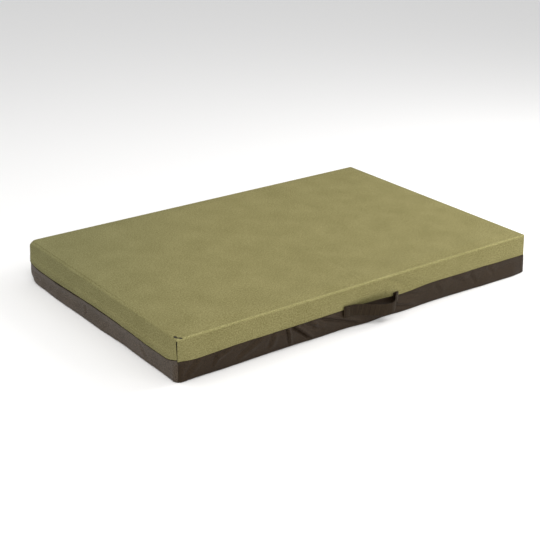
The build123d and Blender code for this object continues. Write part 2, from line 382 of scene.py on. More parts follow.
# ---- walls
def run(low, high, step, turn_low, turn_high, radius_low, radius_high):
    """Places along a wall and how far they stand out, with the cloth turned in at both ends."""
    bend = math.tan(math.radians(67.5)) if turn_low == turn_high == 135 else 1.0
    low_angles = np.radians(np.linspace(turn_low, 0, 7))[:-1]
    high_angles = np.radians(np.linspace(0, turn_high, 7))[1:]
    start, stop = low + bend * radius_low, high - bend * radius_high
    middle = np.linspace(start, stop, max(2, round((stop - start) / step)))
    place = [start - radius_low * np.sin(low_angles), middle, stop + radius_high * np.sin(high_angles)]
    out = [radius_low * (np.cos(low_angles) - 1), 0 * middle, radius_high * (np.cos(high_angles) - 1)]
    return np.concatenate(place), np.concatenate(out)


def wall_points(side, u, z, out):
    """Points of a wall. u runs along it, and out is how far a point stands out of it."""
    axes = {
        "front": (u, -HALF_W - out, z),
        "back": (u, HALF_W + out, z),
        "right": (HALF_L + out, u, z),
        "left": (-HALF_L - out, u, z),
    }
    return stack(*axes[side])


def wall_sheet(name, side, low, high, bump, material, wave_low=None, wave_high=None, rise=2 * MM):
    """One wall of the cover as a sheet. One that starts at the floor is rounded under the mat."""
    half = HALF_L if side in ("front", "back") else HALF_W
    corner, foot, head = (FINE_BEAD, BASE_ROUND, BEAD) if low == 0 else (BEAD, BEAD, FINE_BEAD)
    u, u_out = run(-half, half, 3 * MM, 135, 135, corner, corner)
    z, z_out = run(low, high, rise, 90, 90, foot, head)
    share = np.clip((z - low) / (high - low), 0, 1)
    u, z = np.meshgrid(u, z)
    if wave_low is not None:
        z = z + wave_low(u) * (1 - share)[:, None]
    if wave_high is not None:
        z = z + wave_high(u) * share[:, None]
    ends = smooth(half - abs(u), 0, 12 * MM)
    out = bump(u, z) * ends + u_out + z_out[:, None]
    grid = wall_points(side, u, z, out)
    uv = stack(u, z)
    return cloth_sheet(name, grid, uv, material, flip=side in ("back", "left"))


def seam_wave(x):
    """How far the seam between the green and the black wanders from its nominal height."""
    knots = (
        (-0.75, 2.0), (-0.70, -4.0), (-0.64, -3.8), (-0.56, -0.8), (-0.30, 0.4), (0.05, 0.4),
        (0.16, -4.4), (0.25, 1.0), (0.42, 1.8), (0.62, 0.3), (0.75, -2.0),
    )
    return curve_through(knots, x) * MM + 0.5 * MM * noise(x, 0 * x, 0.06, 12)


def hidden_wave(seed):
    return lambda u: 1.2 * MM * noise(u, 0 * u, 0.16, seed)


# ---- top and base
def edge_run(half):
    """Arc length from the middle to the end of a rolled edge, for one axis."""
    flat_end, margin = half - ROLL, 30 * MM
    inner = np.linspace(0, flat_end - margin, round((flat_end - margin) / (8 * MM)))
    fine = np.linspace(flat_end - margin, flat_end, round(margin / (1.2 * MM)) + 1)[1:]
    roll = flat_end + ROLL * np.linspace(0, ROLL_TURN, 12)[1:]
    positive = np.concatenate([inner, fine, roll])
    return np.concatenate([-positive[:0:-1], positive])


def top_rise(x, y):
    """How far the top stands above its plane, away from its rolled edge."""
    rise = 1.2 * MM * noise(x, y, 0.30, 21) + 0.5 * MM * noise(x, y, 0.09, 22)
    rise = rise + 4.0 * MM * smooth(x, -HALF_L, 0.17 - HALF_L)
    # the crease where the mat has been folded across the middle
    along = 1 - 0.55 * smooth(y, 0.04, 0.30)
    rise = rise - 1.1 * MM * bell(x, 0.002 * np.sin(y * 9), 4 * MM) * along
    rise = rise + 0.5 * MM * bell(abs(x), 12 * MM, 8 * MM) * along
    rise = rise + folds(x, y, (
        (580, 160, 650, 200, 1.2, 8), (620, 130, 660, 220, 0.9, 7),
        (-660, 300, -580, 360, 0.7, 10), (300, -380, 420, -330, 0.6, 12),
    ))
    return rise * smooth(HALF_L - abs(x), 8 * MM, 50 * MM) * smooth(HALF_W - abs(y), 8 * MM, 50 * MM)


def edge_groove(x, y):
    """The shallow groove inside the rolled edge: soft on the long sides, narrow on the zip side."""
    soft = bell(HALF_W - abs(y), 12 * MM, 4 * MM) + bell(HALF_L - x, 11 * MM, 3 * MM)
    narrow = bell(HALF_L + x, 8.5 * MM, 2.2 * MM) * (0.25 + 0.75 * smooth(y, -0.42, 0.05))
    return -0.8 * MM * soft - 2.6 * MM * narrow


def corner_pocket(x, y):
    """The little pocket that gapes where the seams meet, between the handle side and the zip side."""
    dx, dy = x + HALF_L - 21 * MM, y + HALF_W - 19 * MM
    turn = np.degrees(np.arctan2(dy, dx)) % 360
    reach = smooth(turn, 125, 150) * (1 - smooth(turn, 255, 285))
    out = np.hypot(dx, dy)
    valley = -11 * MM * bell(out, 13.5 * MM, 3.8 * MM)
    lip = 2.2 * MM * bell(out, 19 * MM, 1.8 * MM)
    hollow = -2.0 * MM * bell(out, 6 * MM, 9 * MM)
    return (valley + lip) * reach + hollow


def top_sheet():
    """The top, with its edge rolled over all round and a shallow groove inside the roll."""
    spread = stack(*np.meshgrid(edge_run(HALF_L), edge_run(HALF_W)))
    flat = np.array([HALF_L, HALF_W]) - ROLL
    over = np.clip(abs(spread) - flat, 0, None)
    sharp = 5.0  # how square the roll's corners are
    past = (over**sharp).sum(-1) ** (1 / sharp)
    angle = np.clip(past / ROLL, 0, ROLL_TURN)
    reach = np.where(past > 1e-9, ROLL * np.sin(angle) / np.maximum(past, 1e-9), 0)
    bent = np.minimum(abs(spread), flat) + over * reach[..., None]
    x, y = np.moveaxis(np.sign(spread) * bent, -1, 0)
    groove = edge_groove(x, y) * (past <= 0)
    z = HEIGHT - ROLL * (1 - np.cos(angle)) + groove + top_rise(x, y) + corner_pocket(x, y)
    return cloth_sheet("top_cover", stack(x, y, z), spread, OLIVE)


def base_sheet():
    halves = [half - BASE_ROUND + BEAD / 2 for half in (HALF_L, HALF_W)]
    (u, u_out), (v, v_out) = (run(-half, half, 15 * MM, 90, 90, BEAD / 2, BEAD / 2) for half in halves)
    u, v = np.meshgrid(u, v)
    lift = 0.25 * MM * (1 + noise(u, v, 0.12, 31)) - u_out - v_out[:, None]
    left, right = (smooth(sign * u, halves[0] - 60 * MM, halves[0]) for sign in (-1, 1))
    x = u - foot_left(v) * left + foot_right(v) * right
    y = v - foot_front(u) * smooth(-v, halves[1] - 60 * MM, halves[1])
    grid, uv = stack(x, y, lift), stack(u, v)
    return cloth_sheet("base_cover", grid, uv, BLACK, flip=True)


# ---- materials
def new_tree(name):
    """A material, its node tree, and the output that gives each point's place."""
    material = bpy.data.materials.new(name)
    material.use_nodes = True
    material.node_tree.nodes.clear()
    place = add_node(material.node_tree, "NewGeometry", {}).outputs["Position"]
    return material, material.node_tree, place


def add_node(tree, kind, inputs, **settings):
    """A shader node. An input is a number, a vector, a colour or the output of another node."""
    node = tree.nodes.new("ShaderNode" + kind)
    for name, value in settings.items():
        setattr(node, name, value)
    for key, value in inputs.items():
        socket = node.inputs[key]
        if isinstance(value, bpy.types.NodeSocket):
            tree.links.new(value, socket)
        elif socket.type == "RGBA":
            socket.default_value = (*value, 1.0)
        else:
            socket.default_value = value
    return node


def shaded(material, inputs):
    """The material, ended with its shader."""
    shader = add_node(material.node_tree, "BsdfPrincipled", inputs)
    add_node(material.node_tree, "OutputMaterial", {0: shader.outputs[0]})
    return material


def maths(tree, operation, *values):
    return add_node(tree, "Math", dict(enumerate(values)), operation=operation).outputs[0]


def noise_node(tree, vector, scale, detail=4.0, rough=0.55):
    inputs = {"Vector": vector, "Scale": scale, "Detail": detail, "Roughness": rough}
    return add_node(tree, "TexNoise", inputs).outputs["Fac"]


def mix_color(tree, factor, a, b, blend="MIX"):
    return add_node(tree, "Mix", {0: factor, 6: a, 7: b}, data_type="RGBA", blend_type=blend).outputs[2]


def bump_node(tree, height, distance, strength, **before):
    inputs = {"Height": height, "Distance": distance, "Strength": strength, **before}
    return add_node(tree, "Bump", inputs).outputs["Normal"]


def ramp(tree, value, start, stop):
    """A factor that goes smoothly from 0 at start to 1 at stop."""
    inputs = {0: value, 1: start, 2: stop}
    return add_node(tree, "MapRange", inputs, interpolation_type="SMOOTHSTEP").outputs[0]


def tint(tree, color, factor, at_zero, at_one):
    """Multiplies a colour by another, which goes from at_zero to at_one with the factor."""
    return mix_color(tree, 1.0, color, mix_color(tree, factor, at_zero, at_one), "MULTIPLY")


def with_painted_light(tree, color, place, flat):
    """Painted light on the olive colour: painted shade towards the far end of the zip side, a painted
    highlight on the rolled edge and a painted shadow around the handle.
    """
    across = add_node(tree, "VectorMath", {0: place, 1: (0.83, -0.55, 0.0)}, operation="DOT_PRODUCT")
    # painted shade: darker and greener towards the far end of the zip side, with full light from the
    # middle of the mat on
    color = tint(tree, color, ramp(tree, across.outputs["Value"], -0.95, -0.1), PAINTED_FAR_SHADE, PAINTED_NEAR_LIGHT)
    # painted highlight along the rolled edge: full on the long sides, a quarter as strong on the short
    # sides
    side, front = (
        ramp(tree, maths(tree, "ABSOLUTE", flat.outputs[k]), start - 1 * MM, start + 3 * MM)
        for k, start in enumerate((HALF_L - ROLL, HALF_W - ROLL))
    )
    edge_highlight = maths(tree, "MAXIMUM", front, maths(tree, "MULTIPLY", side, 0.25))
    color = tint(tree, color, edge_highlight, UNTINTED, PAINTED_EDGE_HIGHLIGHT)
    # painted shadow on the green wall around the handle, where the strap stands off and blocks the light
    shadow_spot = {
        "Vector": place,
        "Location": (HANDLE_MID, -HALF_W, SEAM_Z + 4 * MM),
        "Scale": (110 * MM, 100 * MM, 28 * MM),
    }
    in_shadow_spot = add_node(tree, "Mapping", shadow_spot, vector_type="TEXTURE").outputs[0]
    away = add_node(tree, "VectorMath", {0: in_shadow_spot}, operation="LENGTH").outputs["Value"]
    return tint(tree, color, ramp(tree, away, 0.25, 1.0), PAINTED_HANDLE_SHADOW, UNTINTED)


def canvas(
    name, dark, light, roughness, specular,
    thread=0.9 * MM, streaks=(70.0, 230.0), specks=0.75, paints_light=False,
):
    """Woven canvas. Its threads run along the flat cloth, and its dye has streaks and specks."""
    material, tree, place = new_tree(name)
    flat = add_node(tree, "UVMap", {}, uv_map="cloth").outputs[0]
    split = add_node(tree, "SeparateXYZ", {0: flat})
    warp, weft = (
        maths(tree, "SINE", maths(tree, "MULTIPLY", split.outputs[k], math.pi / thread))
        for k in (0, 1)
    )
    weave = maths(tree, "MULTIPLY_ADD", maths(tree, "MULTIPLY", warp, weft), 0.5, 0.5)
    mottle = noise_node(tree, flat, 9.0)
    speck = noise_node(tree, flat, 230.0, 2.0, 0.6)
    stretch = add_node(tree, "Mapping", {"Vector": flat, "Scale": (*streaks, 1.0)})
    slubs = noise_node(tree, stretch.outputs[0], 1.0, 3.0, 0.6)
    blend = maths(tree, "MULTIPLY", speck, specks)
    for layer, share in ((mottle, 0.2), (slubs, 1.0 - specks), (weave, 0.1)):
        blend = maths(tree, "MULTIPLY_ADD", layer, share, blend)
    low, high = 0.47, 0.83  # the range in which nearly all of the blend lies
    factor = maths(tree, "DIVIDE", maths(tree, "SUBTRACT", blend, low), high - low)
    color = mix_color(tree, factor, dark, light)
    # painted shade, a painted highlight and a painted shadow, for the olive canvas
    if paints_light:
        color = with_painted_light(tree, color, place, split)
    coarse = bump_node(tree, noise_node(tree, place, 45.0), 0.6 * MM, 0.5)
    fine = bump_node(tree, slubs, 0.15 * MM, 0.6, Normal=coarse)
    return shaded(material, {
        "Base Color": color,
        "Roughness": maths(tree, "MULTIPLY_ADD", speck, 0.12, roughness - 0.06),
        "Specular IOR Level": specular,
        "Specular Tint": (1.0, 0.84, 0.68),
        "Normal": bump_node(tree, weave, 0.12 * MM, 0.9, Normal=fine),
    })


def plain(name, color, roughness, metallic=0.0, worn=None, lump=90.0):
    """Metal, plastic or thread: a fine uneven grain, with an optional second, worn colour."""
    material, tree, place = new_tree(name)
    grain = noise_node(tree, place, lump * 12, 3.0, 0.6)
    broad = noise_node(tree, place, lump)
    second = worn or tuple(0.72 * c for c in color)
    factor = maths(tree, "SMOOTH_MIN", maths(tree, "MULTIPLY", broad, grain), 0.6, 0.1)
    factor = maths(tree, "MULTIPLY", factor, 1.6)
    return shaded(material, {
        "Base Color": mix_color(tree, factor, color, second),
        "Roughness": maths(tree, "MULTIPLY_ADD", grain, 0.2, roughness - 0.1),
        "Metallic": metallic,
        "Normal": bump_node(tree, grain, 0.1 * MM, 0.7),
    })


def foam_material(name, color, pore):
    material, tree, place = new_tree(name)
    cells = add_node(tree, "TexVoronoi", {"Vector": place, "Scale": 1 / pore}).outputs["Distance"]
    broad = maths(tree, "MULTIPLY", noise_node(tree, place, 14.0), 0.3)
    depth = maths(tree, "MULTIPLY_ADD", cells, 0.7, broad)
    return shaded(material, {
        "Base Color": mix_color(tree, depth, tuple(0.7 * c for c in color), color),
        "Roughness": 0.95,
        "Specular IOR Level": 0.2,
        "Normal": bump_node(tree, cells, 0.5 * pore, 0.8),
    })


# What the olive colour is multiplied by, from place to place, as painted light
# painted shade at the far end of the zip side, and full light from the middle on
PAINTED_FAR_SHADE = (0.83, 0.87, 0.97)
PAINTED_NEAR_LIGHT = (0.99, 0.985, 1.03)
# painted highlight on the rolled edge
PAINTED_EDGE_HIGHLIGHT = (1.26, 1.28, 1.30)
# painted shadow around the handle
PAINTED_HANDLE_SHADOW = (0.60, 0.61, 0.58)
# no change
UNTINTED = (1.0, 1.0, 1.0)
# the olive canvas carries painted shade, a painted highlight and a painted shadow
OLIVE = canvas("olive_canvas", (0.144, 0.128, 0.044), (0.304, 0.277, 0.121), 0.86, 0.08, paints_light=True)
BLACK = canvas("black_canvas", (0.006, 0.003, 0.001), (0.034, 0.021, 0.011), 0.50, 0.22)
# a lighter copy of the black canvas: painted sheen for the black wall on the zip side, which catches
# light at a slant
SHEEN_PAINTED_BLACK = canvas("sheen_painted_black_canvas", (0.010, 0.006, 0.003), (0.112, 0.087, 0.066), 0.50, 0.22)
WEBBING = canvas(
    "webbing", (0.005, 0.002, 0.001), (0.040, 0.028, 0.016), 0.62, 0.12,
    thread=0.8 * MM, streaks=(240.0, 6.0), specks=0.2,
)
TAPE = canvas("zip_tape", (0.008, 0.008, 0.008), (0.020, 0.020, 0.020), 0.75, 0.3, thread=0.4 * MM)
THREAD = plain("thread", (0.24, 0.21, 0.16), 0.6)
HEM_THREAD = plain("hem_thread", (0.21, 0.19, 0.08), 0.7)
NYLON = plain("zip_coil", (0.016, 0.016, 0.017), 0.35)
METAL = plain(
    "zip_metal", (0.030, 0.030, 0.032), 0.35, metallic=0.6, worn=(0.16, 0.155, 0.15), lump=160.0
)
OPEN_FOAM = foam_material("foam_open", (0.72, 0.66, 0.44), 1.6 * MM)
CLOSED_FOAM = foam_material("foam_closed", (0.36, 0.38, 0.41), 0.6 * MM)

# ---- cover
FLAP_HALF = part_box("zip_flap")[1].y
FLAP_TOP_Z = frame["joints"][0]["pos_m"][2]
ZIP_WALL_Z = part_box("lower_zip_side")[1].z
TAPE_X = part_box("zip_tape_lower")[0].x
HEM_STITCH = 8 * MM  # from the hem's edge to its stitches


def hem_wave(y):
    """Height of the flap's hem above or below SEAM_Z, from the near corner to the far one."""
    knots = (
        (-0.495, 9.0), (-0.455, -2.8), (-0.40, -4.6), (-0.30, -3.4), (-0.18, -0.3), (0.0, 0.0),
        (0.10, -1.4), (0.20, -5.0), (0.28, -8.0), (0.35, -7.6), (0.44, -3.8), (0.495, -1.5),
    )
    return curve_through(knots, y) * MM + 0.3 * MM * noise(y, 0 * y, 0.05, 15)


def flap_stand_off(y):
    """How far the flap's lower part stands off, to clear the slider along its whole travel."""
    knots = (
        (-0.495, 0), (-0.455, 2.6), (-0.40, 3.1), (-0.20, 3.0), (0.06, 3.1), (0.30, 3.1), (0.44, 3.1),
        (0.495, 0),
    )
    return curve_through(knots, y) * MM


def zip_side_bump(y, z):
    """The green wall on the zip side: it swells, and stands off at its hem."""
    out = belly(z, 2.6 * MM) * smooth(HALF_W - abs(y), 0, 0.07)
    out = out + 0.7 * MM * noise(y, z, 0.10, 41) + 0.3 * MM * noise(y, z, 0.035, 42)
    hem = SEAM_Z + hem_wave(y)
    down = np.clip((FLAP_TOP_Z - z) / (FLAP_TOP_Z - hem), 0, 1.2)
    out = out + flap_stand_off(y) * smooth(down, 0, 0.55)
    # the slider under the cloth, and room for the end of its pull when that is turned over
    out = out + 0.9 * MM * bell(y, 0.437, 0.034) * bell(z, 0.080, 0.024)
    return out + 3.9 * MM * bell(y, 0.389, 0.032) * bell(z, 0.085, 0.018)


def gap_share(y):
    """Where along the zip side the hem stands clear of the black wall: 0 is closed and 1 widest."""
    knots = (
        (-0.495, 0.0), (-0.22, 0.0), (-0.12, 0.5), (0.0, 0.55), (0.08, 0.35), (0.14, 0.9), (0.26, 1.0),
        (0.31, 0.45), (0.43, 0.4), (0.495, 0.1),
    )
    return np.clip(curve_through(knots, y), 0, 1)


def zip_lower_bump(y, z):
    """The black wall on the zip side: it bulges below the hem, then draws in behind it to the zip."""
    gap = gap_share(y)
    hem = SEAM_Z + hem_wave(y)
    shoulder = hem - (2.4 + 2.6 * gap) * MM
    recess = smooth(z, shoulder, shoulder + 1.6 * MM) * smooth(HALF_W - abs(y), 0, 0.02)
    flap_face = zip_side_bump(y, hem)
    tucked = flap_face - 7.5 * MM
    behind = -(HALF_L + TAPE_X - CLOTH) * smooth(z, hem + 1 * MM, hem + 6 * MM)
    swell = (flap_face - 1.6 * MM + 2.2 * MM * gap) * bell(z, shoulder, 17 * MM)
    swell = swell + 1.2 * MM * bell(z, 0.030, 0.022)
    swell = swell + 0.8 * MM * noise(y, z, 0.09, 51) + 0.5 * MM * noise(y, 0.4 * z, 0.03, 52)
    swell = swell + folds(y, z, (
        (-460, 60, -400, 20, 1.2, 8), (-280, 55, -330, 15, 1.4, 9), (-100, 50, -50, 12, 1.2, 9),
        (70, 56, 60, 14, 1.5, 9), (270, 48, 330, 12, 1.2, 8), (400, 30, 470, 16, 2.4, 5),
    ))
    swell = swell + foot_left(y) * (1 - smooth(z, 8 * MM, 50 * MM))
    return swell * (1 - recess) + np.minimum(swell, tucked) * recess + behind


def zip_side_sheet(name, start, stop):
    """The green wall on the zip side between two places along Y, down to its free hem."""
    y, y_out = run(-HALF_W, HALF_W, 3 * MM, 135, 135, FINE_BEAD, BEAD)
    kept = (y >= start - 1e-6) & (y <= stop + 1e-6)
    y, y_out = y[kept], y_out[kept]
    if start > -HALF_W:
        y, y_out = np.append(start, y), np.append(0, y_out)
    if stop < HALF_W:
        y, y_out = np.append(y, stop), np.append(y_out, 0)
    z, z_out = run(SEAM_Z, TOP_SEAM_Z, 2 * MM, 0.001, 90, BEAD, FINE_BEAD)
    share = np.clip((z - SEAM_Z) / (TOP_SEAM_Z - SEAM_Z), 0, 1)
    y, z = np.meshgrid(y, z)
    y = y + (1 + 4.5 * share[:, None]) * MM * (1 - smooth(y, -HALF_W, 13 * MM - HALF_W))
    z = z + hem_wave(y) * (1 - share)[:, None]
    ends = smooth(HALF_W - abs(y), 0, 8 * MM)
    stitched = 0.5 * MM * bell(z - SEAM_Z - hem_wave(y), HEM_STITCH, 1.2 * MM)
    out = (zip_side_bump(y, z) - stitched) * ends + y_out + z_out[:, None]
    grid = wall_points("left", y, z, out)
    return cloth_sheet(name, grid, stack(y, z), OLIVE, flip=True)


def corner_shade_sheets():
    """Dark sheets of tape canvas inside the gaping corner, as painted shade: one strip behind its slit
    and one in its pocket.
    """
    y, z = np.meshgrid(np.linspace(1.8 * MM, 15 * MM, 8) - HALF_W, np.linspace(SEAM_Z, TOP_SEAM_Z, 12))
    grid = wall_points("left", y, z, 0 * y - 4 * MM)
    upright = cloth_sheet("near_corner_shade_sheet", grid, stack(y, z), TAPE, flip=True)
    x = np.linspace(6 * MM, 34 * MM, 12) - HALF_L
    x, y = np.meshgrid(x, np.linspace(5.5 * MM, 34 * MM, 12) - HALF_W)
    grid = stack(x, y, 0 * x + HEIGHT - 3 * MM)
    level = cloth_sheet("near_pocket_shade_sheet", grid, stack(x, y), TAPE)
    for piece, size in ((upright, (BAND, 13.2 * MM)), (level, (28 * MM, 28.5 * MM))):
        cloth(piece, "mat", "zip_tape", (), size)


def dress(piece, body, slot, *nodes):
    """What nearly every piece needs: the body it rides on and the nodes it stands for, which it hides.
    slot is not used.
    """
    if body is not None:
        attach(piece, body)
    if nodes:
        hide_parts(*nodes)
    return piece


def cloth(piece, body, slot, nodes, flat):
    """Dresses a piece of cloth on what holds it. flat, its flat size, is not used."""
    dress(piece, body, slot, *nodes)


LONG, SHORT = 2 * HALF_L, 2 * HALF_W
BAND = TOP_SEAM_Z - SEAM_Z
ROLL_CUT = ROLL * ROLL_TURN  # canvas taken by the rolled edge

hems = 2 * (ROLL_CUT - ROLL)
cloth(top_sheet(), "mat", "olive_canvas", ("top_panel",), (SHORT + hems, LONG + hems))
footprint = (SHORT - 2 * BASE_ROUND, LONG - 2 * BASE_ROUND)
cloth(base_sheet(), "mat", "black_canvas", ("base_panel",), footprint)

for side, length, band_bump, lower_bump, wave in (
    ("front", LONG, band_front_bump, lower_front_bump, seam_wave),
    ("back", LONG, side_swell(60), slack_swell(60, LONG), hidden_wave(66)),
    ("right", SHORT, side_swell(70), pouting(slack_swell(70, SHORT)), hidden_wave(76)),
):
    band = wall_sheet(f"{side}_band", side, SEAM_Z, TOP_SEAM_Z, band_bump, OLIVE, wave_low=wave)
    cloth(band, "mat", "olive_canvas", (f"band_{side}",), (BAND, length))
    lower = wall_sheet(f"{side}_lower", side, 0, SEAM_Z, lower_bump, BLACK, wave_high=wave)
    cloth(lower, "mat", "black_canvas", (f"lower_{side}",), (SEAM_Z, length))

# the black wall on the zip side takes the lighter copy of the black canvas, as painted sheen
zip_lower = wall_sheet(
    "zip_side_lower", "left", 0, ZIP_WALL_Z, zip_lower_bump, SHEEN_PAINTED_BLACK, rise=0.9 * MM
)
cloth(zip_lower, "mat", "black_canvas", ("lower_zip_side",), (ZIP_WALL_Z, SHORT))

flap = zip_side_sheet("zip_side_flap", -FLAP_HALF, FLAP_HALF)
flap_size = (BAND + 9 * MM, 2 * FLAP_HALF)
cloth(flap, None, "olive_canvas", ("band_zip_side", "zip_flap"), flap_size)
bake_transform(flap)
for name, start, stop in (
    ("zip_side_near_end", -HALF_W, -FLAP_HALF), ("zip_side_far_end", FLAP_HALF, HALF_W),
):
    end_piece = zip_side_sheet(name, start, stop)
    cloth(end_piece, "mat", "olive_canvas", ("band_zip_side",), (HALF_W - FLAP_HALF, BAND))
# dark sheets inside the near corner: painted shade in its slit and pocket
corner_shade_sheets()


# ---- foam
def foam_block(node, top_z, bottom_z, slot, material):
    """A foam layer, a little smaller than the space inside the cover, with soft edges."""
    low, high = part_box(node)
    inset, behind_folds = 6.5 * MM, 15 * MM
    low = Vector((low.x + 2 * MM, low.y + behind_folds, bottom_z))
    high = Vector((high.x - inset, high.y - inset, top_z))
    counts = (60, 40, max(3, round((high.z - low.z) / (12 * MM))))
    axes = [np.linspace(low[k], high[k], counts[k]) for k in range(3)]
    parts = []
    for axis in range(3):
        a, b = [k for k in range(3) if k != axis]
        grid_a, grid_b = np.meshgrid(axes[a], axes[b])
        for at_high in (False, True):
            face = np.zeros(grid_a.shape + (3,))
            face[..., a], face[..., b] = grid_a, grid_b
            face[..., axis] = high[axis] if at_high else low[axis]
            quads = grid_faces(*grid_a.shape)
            parts.append((face.reshape(-1, 3), quads[:, ::-1] if at_high == (axis == 1) else quads))
    points, faces = joined(parts)
    piece = add_mesh(f"{node}_block", shape(points), faces, material)
    add_modifier(piece, "WELD", merge_threshold=0.05 * MM)
    add_modifier(piece, "BEVEL", width=3 * MM, segments=3, limit_method="ANGLE")
    apply_modifiers(piece)
    dress(piece, "mat", slot, node)


LAYER_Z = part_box("landing_foam")[0].z
foam_block("core_foam", LAYER_Z, CLOTH + 2 * MM, "foam_open", OPEN_FOAM)
foam_block("landing_foam", HEIGHT - 5 * MM, LAYER_Z, "foam_closed", CLOSED_FOAM)

# ---- zip
SLIDER_LOW, SLIDER_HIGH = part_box("zip_slider")
ZIP_Z = (SLIDER_LOW.z + SLIDER_HIGH.z) / 2
SLIDER_Y = (SLIDER_LOW.y + SLIDER_HIGH.y) / 2
ZIP_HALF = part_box("zip_coil_lower")[1].y
TAPE_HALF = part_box("zip_tape_lower")[1].y
PIN_X = frame["joints"][2]["pos_m"][0]


def tape_sheet(node, heights, places):
    """A zip tape as a strip with a given profile: heights and places across the wall."""
    y, z = np.meshgrid(np.linspace(-TAPE_HALF, TAPE_HALF, 240), heights)
    grid = stack(0 * y + np.array(places)[:, None], y, z)
    travelled = np.append(0, np.cumsum(np.hypot(np.diff(heights), np.diff(places))))
    uv = stack(y, 0 * y + travelled[:, None])
    piece = cloth_sheet(f"{node}_strip", grid, uv, TAPE, thickness=0.7 * MM, flip=True)
    size = (float(heights[-1] - heights[0]), 2 * TAPE_HALF)
    cloth(piece, "mat", "zip_tape", (node,), size)


def zip_tapes():
    low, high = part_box("zip_tape_lower")
    tape_sheet("zip_tape_lower", np.linspace(low.z, high.z, 12), np.full(12, low.x))
    low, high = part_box("zip_tape_upper")
    heights = np.linspace(low.z, high.z, 22)
    lean = smooth(heights, low.z + 9 * MM, FLAP_TOP_Z - 1 * MM) * (TAPE_X + HALF_L - CLOTH)
    tape_sheet("zip_tape_upper", heights, TAPE_X - lean)


def zip_coil(node, sign, phase):
    """One side of the chain: a flattened nylon spiral whose turns reach between those of the other."""
    pitch, wire = 1.9 * MM, 0.42 * MM
    low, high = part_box(node)
    reach = (high.z - low.z) / 2 + 0.45 * MM
    turns = int(2 * (ZIP_HALF - 1 * MM) / pitch)
    t = np.linspace(0, 2 * math.pi * turns, turns * 10)
    y = -ZIP_HALF + 1 * MM + pitch * (t / (2 * math.pi) + phase)
    z = ZIP_Z + sign * (reach - 0.55 * MM + (reach - wire) * np.cos(t))
    x = (low.x + high.x) / 2 + ((high.x - low.x) / 2 - wire) * np.sin(t)
    points, faces = tube(stack(x, y, z), wire, 5)
    dress(add_mesh(f"{node}_spiral", points, faces, NYLON), "mat", "zip_coil", node)


def rounded(corners, radius):
    """A closed outline with its corners rounded."""
    points = []
    for k, corner in enumerate(corners):
        p = Vector(corner)
        before = (Vector(corners[k - 1]) - p).normalized()
        after = (Vector(corners[(k + 1) % len(corners)]) - p).normalized()
        half = before.angle(after) / 2
        cut = radius / math.tan(half)
        middle = p + (before + after).normalized() * radius / math.sin(half)
        start, stop = p + before * cut - middle, p + after * cut - middle
        for t in np.linspace(0, 1, 5):
            points.append(middle + (start * (1 - t) + stop * t).normalized() * radius)
    return points


def flat_metal(outlines, thickness, bevel, front_x):
    """Points and faces of a plate cut to outlines in (Y, Z), its edges rounded, from front_x inwards."""
    data = bpy.data.curves.new("outline", "CURVE")
    data.dimensions, data.fill_mode = "2D", "BOTH"
    data.extrude, data.bevel_depth, data.bevel_resolution = thickness / 2 - bevel, bevel, 2
    data.offset = -bevel
    for outline in outlines:
        spline = data.splines.new("POLY")
        spline.points.add(len(outline) - 1)
        for point, place in zip(spline.points, outline):
            point.co = (*place, 0, 1)
        spline.use_cyclic_u = True
    holder = bpy.data.objects.new("outline", data)
    mesh = bpy.data.meshes.new_from_object(holder)
    flat = np.array([v.co for v in mesh.vertices], float)
    faces = [list(p.vertices) for p in mesh.polygons]
    bpy.data.objects.remove(holder)
    bpy.data.curves.remove(data)
    bpy.data.meshes.remove(mesh)
    return stack(front_x + thickness / 2 + flat[:, 2], flat[:, 0], flat[:, 1]), faces


def metal_piece(name, parts, body, node):
    points, faces = joined(parts)
    piece = add_mesh(name, points, faces, METAL)
    add_modifier(piece, "WELD", merge_threshold=0.005 * MM)
    apply_modifiers(piece)
    piece.data.set_sharp_from_angle(angle=math.radians(60))
    dress(piece, body, "zip_metal", node)


def box_outline(y_low, y_high, z_low, z_high, radius):
    return rounded(((y_low, z_low), (y_high, z_low), (y_high, z_high), (y_low, z_high)), radius)


def plate(y_low, y_high, z_low, z_high, corner, thickness, bevel, front_x):
    return flat_metal([box_outline(y_low, y_high, z_low, z_high, corner)], thickness, bevel, front_x)


def mirrored(edge, corner):
    """An outline that is the same above and below the zip's line. edge gives (Y, distance from it)."""
    below = [(y, ZIP_Z - away) for y, away in edge]
    return rounded(below + [(y, ZIP_Z + away) for y, away in edge[::-1]], corner)


